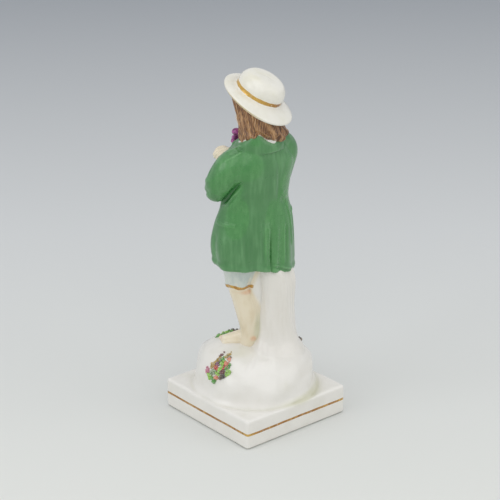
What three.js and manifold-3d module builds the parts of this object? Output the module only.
// A small glazed pottery figure: a standing man in a green coat and a brimmed hat, on a rocky mound
// with a tree stump behind one leg. Figure, stump, mound and square plinth are one fired piece.
// Millimetres. +Z is up, the figure faces -Y, its left hand is towards +X, and the origin is in the
// middle of the plinth's underside. Angles run from +X (its left side) towards +Y (its back).

import * as THREE from "three";
import { mergeVertices } from "three/addons/utils/BufferGeometryUtils.js";
import Module from "manifold-3d";

const wasm = await Module();
wasm.setup();

const DEGREE = Math.PI / 180;
const BACK = 90 * DEGREE;
const RIGHT = 180 * DEGREE;
const FRONT = 270 * DEGREE;

// Driving dimensions: the base.
const PLINTH = { side: 53, high: 12.7, corner: 0.9, edge: 0.6 };
const MOUND = { radius: 24.5, top: 32, sunk: 1.5 };
const GROUND = MOUND.top;

// A horizontal section of a body: its middle, its half width (X), its half depth (Y), and how
// square it is (2 is an ellipse).
const STUMP = [
  { x: -3.4, y: 4.0, z: 21, wide: 19.5, deep: 18, square: 2 },
  { x: -4.6, y: 5.2, z: 28, wide: 14, deep: 12.6, square: 2 },
  { x: -6.0, y: 6.2, z: 35, wide: 9.2, deep: 7.6, square: 2.1 },
  { x: -6.2, y: 6.2, z: 48, wide: 7.9, deep: 5.9, square: 2.2 },
  { x: -6.3, y: 5.6, z: 58, wide: 8.7, deep: 6.2, square: 2.3 },
  { x: -6.2, y: 4.4, z: 65.8, wide: 9.3, deep: 5.8, square: 2.3 },
  { x: -5.0, y: 2.8, z: 70.5, wide: 7.0, deep: 4.4, square: 2 },
];
const BARK = { ridges: 6, depth: 0.4, twist: 0.015 };

const COAT = [
  { x: 0.5, y: 0, z: 66.8, wide: 18.4, deep: 10.8, square: 2.5 },
  { x: 0.8, y: -0.4, z: 76, wide: 18.9, deep: 11.2, square: 2.4 },
  { x: 0.5, y: -0.3, z: 86, wide: 18.0, deep: 10.9, square: 2.2 },
  { x: 0.1, y: 0.1, z: 94.5, wide: 15.4, deep: 9.6, square: 2.1 },
  { x: 0, y: 0.4, z: 103, wide: 15.6, deep: 10.0, square: 2.2 },
  { x: 0, y: 1.0, z: 112, wide: 15.8, deep: 10.0, square: 2.4 },
  { x: 0, y: 1.6, z: 121.9, wide: 9.8, deep: 8.0, square: 2.2 },
];
// The coat's skirt: folds that fade out at the waist, and a hem that hangs lower at its right and is
// cut back at the open front.
const SKIRT = { hem: 66.8, waist: 94.5, folds: 11, fold: 0.45, tilt: 4, highAt: 15 * DEGREE, cutaway: 2.4 };
// The vent laps left over right at the middle of the back.
const VENT = { top: 88, lap: 0.8, half: 3 * DEGREE };
// The open front, where the waistcoat and breeches show between the coat's edges.
const OPENING = { back: 1.7, halfAtHem: 26 * DEGREE, halfAtChest: 9 * DEGREE, button: 104 };

const LEFT_LEG = [
  { x: 6.2, y: -1.6, z: 70, r: 7.8 },
  { x: 6.4, y: -2.2, z: 58, r: 5.0 },
  { x: 5.2, y: -1.2, z: 52, r: 4.8 },
  { x: 3.7, y: 0, z: 44.5, r: 4.8 },
  { x: 3.0, y: 0.3, z: 37, r: 3.9 },
  { x: 3.2, y: 0.1, z: GROUND, r: 4.0 },
];
const RIGHT_LEG = [
  { x: -6.4, y: -2.4, z: 70, r: 7.2 },
  { x: -6.6, y: -3.4, z: 58, r: 5.2 },
  { x: -6.6, y: -3.4, z: 52, r: 4.8 },
  { x: -6.8, y: -2.8, z: 44.5, r: 4.8 },
  { x: -7.0, y: -3.0, z: 37, r: 3.9 },
  { x: -7.0, y: -3.2, z: GROUND, r: 4.0 },
];
// The loose ends of the breeches stand out round each knee.
const BREECHES = { below: 57.2, above: 71, proud: 0.35 };
// A foot: its heel, the way it points, and its sizes.
const FOOT = { long: 18.2, wide: 6.6, high: 6.2 };
const LEFT_FOOT = { x: -0.2, y: 2.0, turn: 43 * DEGREE };
const RIGHT_FOOT = { x: -6.0, y: -0.2, turn: -28 * DEGREE };

const LEFT_SLEEVE = [
  { x: 10.2, y: 1.2, z: 113.4, r: 6.2 },
  { x: 13.2, y: 0.4, z: 111.0, r: 6.6 },
  { x: 15.6, y: -1.8, z: 106.4, r: 6.1 },
  { x: 16.0, y: -4.2, z: 101.2, r: 5.7 },
];
const LEFT_FOREARM = [
  { x: 15.4, y: -4.8, z: 101.2, r: 5.2 },
  { x: 11.1, y: -7.4, z: 104.4, r: 4.5 },
  { x: 7.2, y: -8.2, z: 108.4, r: 4.1 },
];
const RIGHT_SLEEVE = [
  { x: -10.6, y: 1.4, z: 115.8, r: 6.6 },
  { x: -13.1, y: 0.6, z: 112.6, r: 6.7 },
  { x: -13.9, y: -1.2, z: 105.4, r: 5.7 },
  { x: -13.8, y: -3.6, z: 98.6, r: 5.3 },
];
const RIGHT_FOREARM = [
  { x: -13.6, y: -4.6, z: 98.4, r: 5.1 },
  { x: -10.0, y: -9.4, z: 97.8, r: 4.6 },
  { x: -5.2, y: -11.6, z: 98.4, r: 4.2 },
];
const CUFF = { long: 3.2, proud: 0.7 };
const HAND = { palm: 3.0, finger: 0.95, fingers: 4, long: 5.6 };
// Each hand's wrist, the way it points and the way its palm faces.
const LEFT_HAND = { wrist: [7.9, -9.3, 113.1], along: [0.75, -0.62, 0.2], palm: [-0.2, -0.2, -1] };
const RIGHT_HAND = { wrist: [-2.2, -12.4, 98.8], along: [1, -0.1, 0.1], palm: [0, 1, 0] };

const HEAD = { x: -0.5, y: -0.9, chin: 120.6, top: 142, wide: 7.9, deep: 9.1 };
const NECK = { x: -0.3, y: 0.2, r: 6.2, below: 112, above: 126 };
const HAIR = [
  { x: -0.2, y: 3.6, z: 121.4, wide: 9.2, deep: 7.2, square: 2.2 },
  { x: -0.6, y: 3.4, z: 123.8, wide: 10.5, deep: 8.7, square: 2.2 },
  { x: -0.6, y: 2.0, z: 128, wide: 9.8, deep: 9.2, square: 2.1 },
  { x: -0.5, y: 0.6, z: 134, wide: 9.1, deep: 9.6, square: 2 },
  { x: -0.9, y: 0, z: 142, wide: 8.6, deep: 9.0, square: 2 },
];
// Locks of hair: their number round the head and their depth, and how far the face opens them.
const LOCKS = { count: 17, depth: 0.55, twist: 0.09, faceHalf: 60 * DEGREE, faceCut: 3.6 };

// The hat: its tilted axis (back and to the figure's right), band circle and brim.
const HAT = {
  band: { x: -1.8, y: 0, z: 139.2, r: 9.85 },
  lean: { x: -0.33, y: 0.43 },
  brim: 15.6,
  brimDrop: 2.2,
  brimShift: { side: -0.6, over: 0.9 },
  backDroop: 1.1,
  thick: 1.3,
  crown: 7.7,
};

const COLLAR = { z: 121.8, wide: 10.6, deep: 9.4, y: 1.5, high: 4.6, thick: 1.5 };
const LAPEL = { long: 15, wide: 6.4, thick: 1.3, top: 118 };
// The bow: its knot, and where one side's loop and end stand from the knot.
const BOW = { x: -0.3, y: -8.7, z: 119, knot: 1.5, loop: [3.0, 0.9, 2.2], end: [3.6, -0.9, -1.1] };
const LOOP = { half: [2.2, 2.2, 1.9], turn: 20 * DEGREE, tip: -0.5 };
const END = { half: [2.1, 1.5, 1.8], turn: 12 * DEGREE, tip: 0.7 };
const BUTTON = { r: 0.95, high: 0.7, rows: [84, 89, 94, 107, 111.5] };

// Clusters of coloured grains stuck on the mound: the way each faces, its height, size and count.
const CLUSTERS = [
  { at: 5.5 * DEGREE, z: 26.3, wide: 4.2, high: 4.4, grains: 17, lean: -0.39 },
  { at: -79.8 * DEGREE, z: 30.9, wide: 5.8, high: 1.0, grains: 9, lean: 0.1 },
  { at: 163 * DEGREE, z: 29.2, wide: 2.6, high: 2.4, grains: 5, lean: 0.2 },
  { at: -112 * DEGREE, z: 22.0, wide: 4.6, high: 4.6, grains: 7, lean: 0.3 },
];
const GRAIN = 1.5;

const GLAZE = { color: "#e4e0d6", roughness: 0.16, metalness: 0 };

// A geometry as a closed manifold-3d solid.
function solid(geometry) {
  const bare = geometry.index ? geometry.toNonIndexed() : geometry.clone();
  bare.deleteAttribute("normal");
  bare.deleteAttribute("uv");
  const merged = mergeVertices(bare, 1e-4);
  return new wasm.Manifold(
    new wasm.Mesh({
      numProp: 3,
      vertProperties: merged.attributes.position.array,
      triVerts: new Uint32Array(merged.index.array),
    }),
  );
}

// A closed skin over rings of equally many points, each ring anticlockwise seen from the next.
function loft(rings) {
  const sides = rings[0].length;
  const points = rings.flat();
  const faces = [];
  for (let ring = 0; ring + 1 < rings.length; ring += 1) {
    for (let side = 0; side < sides; side += 1) {
      const a = ring * sides + side;
      const b = ring * sides + ((side + 1) % sides);
      faces.push(a, b, b + sides, a, b + sides, a + sides);
    }
  }
  const last = points.length - sides;
  const middles = [rings[0], rings.at(-1)].map((ring) =>
    ring.reduce((sum, point) => sum.add(point), new THREE.Vector3()).divideScalar(sides),
  );
  points.push(...middles);
  for (let side = 0; side < sides; side += 1) {
    const next = (side + 1) % sides;
    faces.push(points.length - 2, next, side, points.length - 1, last + side, last + next);
  }
  const geometry = new THREE.BufferGeometry().setFromPoints(points);
  geometry.setIndex(faces);
  return geometry;
}

// Stations with smooth steps put between them: every number in them follows a spline.
function smooth(stations, steps) {
  const count = (stations.length - 1) * steps;
  const keys = Object.keys(stations[0]);
  const curves = keys.map(
    (key) => new THREE.SplineCurve(stations.map((one, i) => new THREE.Vector2(i, one[key]))),
  );
  return Array.from({ length: count + 1 }, (_, i) =>
    Object.fromEntries(keys.map((key, k) => [key, curves[k].getPoint(i / count).y])),
  );
}

// A smooth step from 0 at one value to 1 at the other.
function ramp(value, from, to) {
  const t = Math.min(1, Math.max(0, (value - from) / (to - from)));
  return t * t * (3 - 2 * t);
}

// How far one angle is from another, from -180 to 180 degrees, in radians.
function apart(angle, from) {
  return Math.atan2(Math.sin(angle - from), Math.cos(angle - from));
}

// A horizontal ring: a superellipse whose radius and height each angle may change.
function ring(station, sides, swell = () => 0, lift = () => 0) {
  const { x, y, z, wide, deep, square = 2 } = station;
  return Array.from({ length: sides }, (_, i) => {
    const angle = (i / sides) * 2 * Math.PI;
    const c = Math.cos(angle);
    const s = Math.sin(angle);
    const inverse = Math.abs(c / wide) ** square + Math.abs(s / deep) ** square;
    const radius = inverse ** (-1 / square) + swell(angle, z);
    return new THREE.Vector3(x + radius * c, y + radius * s, z + lift(angle, z));
  });
}

// A solid on horizontal rings.
function stack(stations, sides, swell, lift) {
  return solid(loft(stations.map((station) => ring(station, sides, swell, lift))));
}

// A round limb along its stations, domed at both ends.
function limb(stations, sides = 10, steps = 2) {
  const path = smooth(stations, steps);
  const at = (s) => new THREE.Vector3(s.x, s.y, s.z);
  const rings = [];
  const frame = (i) => {
    const along = at(path[Math.min(i + 1, path.length - 1)]).sub(at(path[Math.max(i - 1, 0)]));
    along.normalize();
    const side = new THREE.Vector3(1, 0, 0).addScaledVector(along, -along.x).normalize();
    return { along, side, over: along.clone().cross(side) };
  };
  const circle = (i, share, shift) => {
    const { along, side, over } = frame(i);
    const middle = at(path[i]).addScaledVector(along, shift * path[i].r);
    return Array.from({ length: sides }, (_, k) => {
      const angle = (k / sides) * 2 * Math.PI;
      const radius = path[i].r * share;
      return middle
        .clone()
        .addScaledVector(side, radius * Math.cos(angle))
        .addScaledVector(over, radius * Math.sin(angle));
    });
  };
  const dome = [52 * DEGREE];
  dome.forEach((a) => rings.push(circle(0, Math.cos(a), -Math.sin(a))));
  path.forEach((_, i) => rings.push(circle(i, 1, 0)));
  dome.reverse().forEach((a) => rings.push(circle(path.length - 1, Math.cos(a), Math.sin(a))));
  return solid(loft(rings));
}

// An egg of three half sizes, turned about Z and then tipped.
function egg(at, half, turn = 0, tip = 0, around = 7, up = 5) {
  const geometry = new THREE.SphereGeometry(1, around, up);
  geometry.scale(...half);
  geometry.rotateY(tip).rotateZ(turn);
  geometry.translate(...at);
  return solid(geometry);
}

// A repeatable spread of numbers from 0 to 1.
function spread(index, seed) {
  const value = Math.sin(index * 127.1 + seed * 311.7) * 43758.5453;
  return value - Math.floor(value);
}

// The square plinth, with its corners and edges rounded.
function plinth() {
  const half = PLINTH.side / 2 - PLINTH.edge;
  const r = PLINTH.corner;
  const outline = new THREE.Shape();
  [0, 1, 2, 3].forEach((quarter) => {
    const a = quarter * 90 * DEGREE;
    const middle = new THREE.Vector2(half - r, half - r).rotateAround(new THREE.Vector2(), a);
    outline.absarc(middle.x, middle.y, r, a, a + 90 * DEGREE, false);
  });
  const body = new THREE.ExtrudeGeometry(outline, {
    depth: PLINTH.high - 2 * PLINTH.edge,
    bevelThickness: PLINTH.edge,
    bevelSize: PLINTH.edge,
    bevelSegments: 2,
    curveSegments: 3,
  });
  return solid(body.translate(0, 0, PLINTH.edge));
}

// How steep the mound's side is, by the way it faces: a bluff at the left, a slope at the back left.
function bluff(angle) {
  const slope = Math.exp(-((apart(angle, 48 * DEGREE) / (42 * DEGREE)) ** 2));
  const steep = Math.exp(-((apart(angle, -40 * DEGREE) / (50 * DEGREE)) ** 2));
  return 3 - 0.9 * slope + 1.1 * steep;
}

// The mound's radius at an angle and a height, with the uneven swell of modelled rock.
function moundRadius(angle, z) {
  const share = Math.max(0, (z - PLINTH.high) / (MOUND.top - PLINTH.high));
  const power = bluff(angle);
  const rock = 0.5 * Math.sin(3 * angle + 0.25 * z) + 0.35 * Math.sin(7 * angle - 0.4 * z);
  const even = MOUND.radius * (1 - Math.min(share, 0.999) ** power) ** (1 / power);
  return even + rock * Math.sin(Math.PI * Math.min(share + 0.1, 1));
}

function mound() {
  const shares = [0, 0.25, 0.5, 0.7, 0.84, 0.94, 0.99];
  const foot = { x: 0, y: 0, z: PLINTH.high - MOUND.sunk, wide: 1, deep: 1 };
  const stations = shares.map((share) => ({
    ...foot,
    z: PLINTH.high + share * (MOUND.top - PLINTH.high),
  }));
  return stack([foot, ...stations], 31, (angle, z) => moundRadius(angle, z) - 1);
}

// The stump, flared at its root, with ridges of bark that wind a little as they rise.
function stump() {
  const bark = (angle, z) => {
    const wave = Math.sin(BARK.ridges * (angle + BARK.twist * z) + Math.sin(2 * angle));
    return BARK.depth * wave * ramp(z, 24, 34);
  };
  const under = (angle, z) => SKIRT.tilt * Math.cos(angle - SKIRT.highAt) * ramp(z, 54, 66);
  return stack(smooth(STUMP, 2), 22, bark, under);
}

// The change of the coat's radius: skirt folds, the vent's lap and the step at the open front.
function coatSwell(angle, z) {
  const down = 1 - ramp(z, SKIRT.hem + 6, SKIRT.waist);
  const fold = SKIRT.fold * down * Math.sin(SKIRT.folds * angle + 1.4 * Math.sin(angle));
  const beside = apart(angle, BACK);
  const lapped = ramp(beside, VENT.half, -VENT.half) * ramp(beside, -24 * DEGREE, -8 * DEGREE);
  const lap = VENT.lap * lapped * (1 - ramp(z, VENT.top - 4, VENT.top + 3));
  const rise = ramp(z, SKIRT.hem, OPENING.button);
  const half = OPENING.halfAtHem + (OPENING.halfAtChest - OPENING.halfAtHem) * rise;
  const open = 1 - ramp(Math.abs(apart(angle, FRONT)), half - 3 * DEGREE, half + 3 * DEGREE);
  return fold + lap - OPENING.back * open;
}

// The hem is highest at the left and lowest at the right, and rises towards the open front.
function hemLift(angle, z) {
  const down = 1 - ramp(z, SKIRT.hem, SKIRT.waist);
  const front = 1 - ramp(Math.abs(apart(angle, FRONT)), OPENING.halfAtHem, 2.6 * OPENING.halfAtHem);
  return down * (SKIRT.tilt * Math.cos(angle - SKIRT.highAt) + SKIRT.cutaway * front);
}

function coat() {
  return stack(smooth(COAT, 2), 41, coatSwell, hemLift);
}

// A leg with the loose end of the breeches round its knee.
function leg(stations) {
  const knee = smooth(stations, 3)
    .filter((one) => one.z > BREECHES.below && one.z < BREECHES.above)
    .map((one) => ({ ...one, wide: one.r + BREECHES.proud, deep: one.r + BREECHES.proud }));
  return limb(stations).add(stack(knee.reverse(), 12));
}

// A bare foot: a sole that widens to the toes, a high instep at the ankle and five toe ends.
function foot({ x, y, turn }) {
  const along = [0, 0.12, 0.3, 0.52, 0.72, 0.88, 0.97];
  const rings = along.map((share) => {
    const half = (FOOT.wide / 2) * (0.72 + 0.45 * share - 0.5 * Math.max(0, share - 0.85));
    const high = FOOT.high * (1 - 0.62 * ramp(share, 0.25, 0.95)) * (0.75 + 0.25 * ramp(share, 0, 0.1));
    return Array.from({ length: 10 }, (_, i) => {
      const angle = (i / 10) * 2 * Math.PI;
      const side = half * Math.cos(angle);
      const up = Math.max(-0.8, high * 0.9 * Math.sin(angle));
      return new THREE.Vector3(side, -share * FOOT.long, up);
    });
  });
  const sole = loft(rings);
  const toes = [-2, -1, 0, 1, 2].map((toe) => {
    const r = toe === -2 ? 1.05 : 0.75;
    const back = 0.35 * (toe + 2) ** 1.2;
    return egg([toe * 1.3, -FOOT.long * 0.94 + back, 0.8], [r * 0.9, 1.6, r], 0, 0, 5, 3);
  });
  const matrix = new THREE.Matrix4().makeRotationZ(turn).setPosition(x, y, GROUND);
  const whole = toes.reduce((sum, toe) => sum.add(toe), solid(sole));
  return whole.transform(matrix.elements);
}

// A hand at a wrist: a palm and a row of half closed fingers, laid along one direction.
function hand({ wrist, along, palm: palmTo }) {
  const forward = new THREE.Vector3(...along).normalize();
  const across = forward.clone().cross(new THREE.Vector3(...palmTo)).normalize();
  const inward = across.clone().cross(forward);
  const place = (f, a, p) =>
    new THREE.Vector3(...wrist)
      .addScaledVector(forward, f)
      .addScaledVector(across, a)
      .addScaledVector(inward, p);
  const bone = (points, r, sides) => limb(points.map(({ x, y, z }) => ({ x, y, z, r })), sides, 1);
  const palm = bone([place(-1.5, 0, 0), place(1.4, 0, 0)], HAND.palm, 8);
  const fingers = Array.from({ length: HAND.fingers }, (_, i) => {
    const a = (i - (HAND.fingers - 1) / 2) * HAND.finger * 1.65;
    const long = HAND.long - 0.35 * (i - 1) ** 2;
    const joints = [place(1, a, -0.9), place(long * 0.75, a, -0.6), place(long, a * 0.9, 1.4)];
    return bone(joints, HAND.finger, 5);
  });
  const thumb = bone([place(-0.5, -2.4, 0.6), place(2.6, -2.9, 1.6)], HAND.finger * 1.1, 5);
  return [...fingers, thumb].reduce((sum, one) => sum.add(one), palm);
}

// A turned back cuff at the end of a sleeve.
function cuff(sleeve) {
  const [before, last] = sleeve.slice(-2);
  const end = new THREE.Vector3(last.x, last.y, last.z);
  const way = end.clone().sub(new THREE.Vector3(before.x, before.y, before.z)).normalize();
  const from = end.clone().addScaledVector(way, -CUFF.long);
  const ends = [from, end].map(({ x, y, z }) => ({ x, y, z, r: last.r + CUFF.proud }));
  return limb(ends, 12, 1);
}

// The head without its hair: an oval with hollows for the eyes, and cheeks and a chin.
function head() {
  const high = HEAD.top - HEAD.chin;
  const shares = [0.02, 0.07, 0.13, 0.2, 0.26, 0.32, 0.38, 0.44, 0.5, 0.57, 0.7, 0.95];
  const stations = shares.map((share) => {
    const round = Math.sqrt(1 - (2 * Math.max(share, 0.5) - 1) ** 2);
    const jaw = share < 0.5 ? 0.42 + 0.58 * Math.sin(Math.min(share / 0.42, 1) * 90 * DEGREE) : round;
    return {
      x: HEAD.x,
      y: HEAD.y - 0.9 * (1 - ramp(share, 0, 0.3)),
      z: HEAD.chin + share * high,
      wide: HEAD.wide * jaw,
      deep: HEAD.deep * (0.25 + 0.75 * jaw),
    };
  });
  const face = (angle, z) => {
    const side = apart(angle, FRONT);
    const share = (z - HEAD.chin) / high;
    const near = (at, half, level, tall) =>
      Math.exp(-(((Math.abs(side) - at) / half) ** 2) - ((share - level) / tall) ** 2);
    const hollows = -0.8 * near(21 * DEGREE, 11 * DEGREE, 0.49, 0.045);
    const brow = 0.35 * near(14 * DEGREE, 22 * DEGREE, 0.57, 0.035);
    const cheeks = 0.35 * near(27 * DEGREE, 14 * DEGREE, 0.35, 0.09);
    const chin = 0.5 * near(0, 13 * DEGREE, 0.05, 0.05);
    return hollows + brow + cheeks + chin;
  };
  const front = HEAD.y - HEAD.deep;
  const at = (share) => HEAD.chin + share * high;
  const eyes = [-1, 1].map((side) =>
    egg([HEAD.x + side * 3.1, front + 1.5, at(0.475)], [1.5, 0.9, 0.85], side * 20 * DEGREE, 0, 7, 4),
  );
  const lips = [0.155, 0.2].map((share) =>
    egg([HEAD.x, front + 1.5, at(share)], [1.9, 0.9, 0.6], 0, 0, 6, 3),
  );
  return [...eyes, ...lips].reduce((sum, one) => sum.add(one), stack(stations, 26, face));
}

// The nose: a wedge from the brow to its tip, with two small wings.
function nose() {
  const y = HEAD.y - HEAD.deep;
  const bridge = limb(
    [
      { x: HEAD.x, y: y + 0.9, z: 132, r: 0.8 },
      { x: HEAD.x, y: y - 0.1, z: 129.2, r: 0.85 },
      { x: HEAD.x, y: y - 0.7, z: 127.4, r: 1.05 },
    ],
    7,
    1,
  );
  const wings = [-1, 1].map((side) =>
    egg([HEAD.x + side * 1.1, y + 0.1, 127.1], [0.8, 1, 0.75], 0, 0, 6, 3),
  );
  return wings.reduce((sum, wing) => sum.add(wing), bridge);
}

// The hair: locks that wind down to curled ends, cut back round the face.
function hair() {
  const locks = (angle, z) => {
    const wave = Math.sin(LOCKS.count * angle + LOCKS.twist * (z - 120) * 8 + 2 * Math.sin(3 * angle));
    const curl = 0.5 * Math.sin(9 * angle + 1.3 * z) * (1 - ramp(z, 123, 128));
    const face = 1 - ramp(Math.abs(apart(angle, FRONT)), LOCKS.faceHalf - 12 * DEGREE, LOCKS.faceHalf);
    const open = face * (1 - ramp(z, 133, 137));
    return LOCKS.depth * wave + curl - LOCKS.faceCut * open;
  };
  const { band, lean } = HAT;
  const axis = new THREE.Vector3(lean.x, lean.y, 1).normalize();
  const top = axis.dot(new THREE.Vector3(band.x, band.y, band.z)) - 1.5;
  return stack(smooth(HAIR, 2), 34, locks).trimByPlane(axis.negate().toArray(), -top);
}

// The hat, turned about its leaning axis: a drooping brim and a crown a little fuller than its foot.
function hat() {
  const { band, lean } = HAT;
  const axis = new THREE.Vector3(lean.x, lean.y, 1).normalize();
  const side = new THREE.Vector3(1, 0, 0).addScaledVector(axis, -axis.x).normalize();
  const over = axis.clone().cross(side);
  const edge = -HAT.brimDrop;
  const profile = [
    [4, -1.6 - HAT.thick],
    [12.4, edge * 0.5 - HAT.thick],
    [HAT.brim - 0.6, edge - HAT.thick * 0.7],
    [HAT.brim, edge - HAT.thick * 0.3],
    [HAT.brim - 0.3, edge + 0.15],
    [12.6, edge * 0.45],
    [10.4, -0.45],
    [band.r, 0.1],
    [band.r + 0.05, 1.8],
    [band.r, 3.3],
    [band.r - 0.7, 5.1],
    [band.r - 2.2, 6.7],
    [band.r - 4.5, HAT.crown - 0.25],
    [2, HAT.crown],
  ];
  const rings = profile.map(([r, h]) =>
    Array.from({ length: 27 }, (_, i) => {
      const angle = (i / 27) * 2 * Math.PI;
      const out = ramp(r, band.r, HAT.brim) * (h < 1 ? 1 : 0);
      const droop = -HAT.backDroop * out * Math.cos(angle - BACK - 10 * DEGREE);
      return new THREE.Vector3(band.x, band.y, band.z)
        .addScaledVector(side, r * Math.cos(angle) + out * HAT.brimShift.side)
        .addScaledVector(over, r * Math.sin(angle) + out * HAT.brimShift.over)
        .addScaledVector(axis, h + droop);
    }),
  );
  return solid(loft(rings));
}

// The turned down collar round the back of the neck, open under the chin.
function collar() {
  const { y, z, wide, deep, high, thick } = COLLAR;
  const stations = [
    { x: 0, y, z: z - high, wide: wide + 1.2, deep: deep + 1.0 },
    { x: 0, y, z: z - high * 0.55, wide: wide + 0.9, deep: deep + 0.7 },
    { x: 0, y, z: z - 0.9, wide, deep },
    { x: 0, y, z: z + 0.2, wide: wide - thick * 0.6, deep: deep - thick * 0.6 },
    { x: 0, y, z: z + 0.3, wide: wide - thick * 1.6, deep: deep - thick * 1.6 },
  ];
  const fall = (angle) => -2.6 * (1 - ramp(Math.abs(apart(angle, FRONT)), 30 * DEGREE, 95 * DEGREE));
  return stack(stations, 22, fall, fall);
}

// One lapel, a flat tapering tongue on the chest.
function lapel(side) {
  const { long, wide, thick, top } = LAPEL;
  const outline = new THREE.Shape();
  outline.moveTo(0.6, -long);
  outline.lineTo(wide * 0.75, -long * 0.45);
  outline.lineTo(wide * 0.55, -long * 0.32);
  outline.lineTo(wide, -long * 0.26);
  outline.lineTo(wide * 0.9, 0);
  outline.lineTo(2.6, 0);
  const tongue = new THREE.ExtrudeGeometry(outline, { depth: thick, bevelEnabled: false });
  tongue.rotateX(BACK).rotateX(-12 * DEGREE).rotateZ(14 * DEGREE);
  tongue.translate(0.2, -7.6, top);
  const made = solid(tongue);
  return side < 0 ? made.mirror([1, 0, 0]) : made;
}

// The neckerchief: folds wound round the neck, a knot under the chin, two raised loops and two ends.
function neckerchief() {
  const { x, y, z, knot, loop, end } = BOW;
  const wound = [-4.4, -3.2, -1.6, -0.4, 0.8].map((up, i) => {
    const out = i % 2 ? 0.5 : 0;
    return { x, y: -0.4, z: z + up, wide: NECK.r + 0.7 + out, deep: NECK.r + 1.3 + out };
  });
  const parts = [egg([x, y - 0.6, z], [knot, knot * 0.9, knot * 1.1]), stack(wound, 15)];
  const lobe = (side, off, { half, turn, tip }) =>
    egg([x + side * off[0], y + off[1], z + off[2]], half, side * turn, side * tip);
  [-1, 1].forEach((side) => {
    parts.push(lobe(side, loop, LOOP));
    parts.push(lobe(side, end, END));
  });
  return parts;
}

// The coat's front surface at a height: where the waistcoat's buttons sit.
function frontAt(z) {
  const nearest = smooth(COAT, 8).reduce((a, b) => (Math.abs(b.z - z) < Math.abs(a.z - z) ? b : a));
  return { x: nearest.x, y: nearest.y - nearest.deep - coatSwell(FRONT, z) };
}

// The round buttons down the waistcoat.
function buttons() {
  return BUTTON.rows.map((z) => {
    const { x, y } = frontAt(z);
    return egg([x, y, z], [BUTTON.r, BUTTON.high, BUTTON.r], 0, 0, 6, 3);
  });
}

// One cluster of grains, each sunk a little in the mound's skin.
function cluster({ at, z, wide, high, grains, lean }, seed) {
  return Array.from({ length: grains }, (_, i) => {
    const around = 2.4 * i;
    const share = Math.sqrt((i + 0.5) / grains);
    const side = wide * share * Math.cos(around);
    const up = high * share * Math.sin(around);
    const level = Math.min(z + up, MOUND.top - 0.4);
    const angle = at + (side + lean * up) / MOUND.radius;
    const radius = moundRadius(angle, level) - 0.2;
    const r = GRAIN * (0.75 + 0.5 * spread(i, seed));
    const grain = new THREE.OctahedronGeometry(r, 0).rotateX(i).rotateZ(seed + i);
    return solid(grain.translate(radius * Math.cos(angle), radius * Math.sin(angle), level));
  });
}

// The whole fired piece as one solid.
function figure() {
  const parts = [
    plinth(),
    mound(),
    stump(),
    leg(LEFT_LEG),
    leg(RIGHT_LEG),
    foot(LEFT_FOOT),
    foot(RIGHT_FOOT),
    stack([GROUND - 2, 69].map((z) => ({ x: 0, y: 2.4, z, wide: 4.4, deep: 3.2 })), 14),
    coat(),
    limb(LEFT_SLEEVE),
    limb(LEFT_FOREARM),
    cuff(LEFT_FOREARM),
    limb(RIGHT_SLEEVE),
    limb(RIGHT_FOREARM),
    cuff(RIGHT_FOREARM),
    hand(LEFT_HAND),
    hand(RIGHT_HAND),
    stack([NECK.below, NECK.above].map((z) => ({ ...NECK, z, wide: NECK.r, deep: NECK.r })), 16),
    head(),
    nose(),
    hair(),
    hat(),
    collar(),
    lapel(1),
    lapel(-1),
    ...neckerchief(),
    ...buttons(),
    ...CLUSTERS.flatMap(cluster),
  ];
  return wasm.Manifold.union(parts);
}

// A manifold-3d solid as a three.js geometry.
function geometryOf(made) {
  const mesh = made.getMesh();
  const geometry = new THREE.BufferGeometry();
  geometry.setAttribute("position", new THREE.BufferAttribute(mesh.vertProperties, mesh.numProp));
  geometry.setIndex(new THREE.BufferAttribute(mesh.triVerts, 1));
  geometry.computeVertexNormals();
  return geometry;
}

const piece = new THREE.Mesh(geometryOf(figure()), new THREE.MeshStandardMaterial(GLAZE));
piece.name = "staffordshire_figure";

const group = new THREE.Group();
group.add(piece);
export default group;
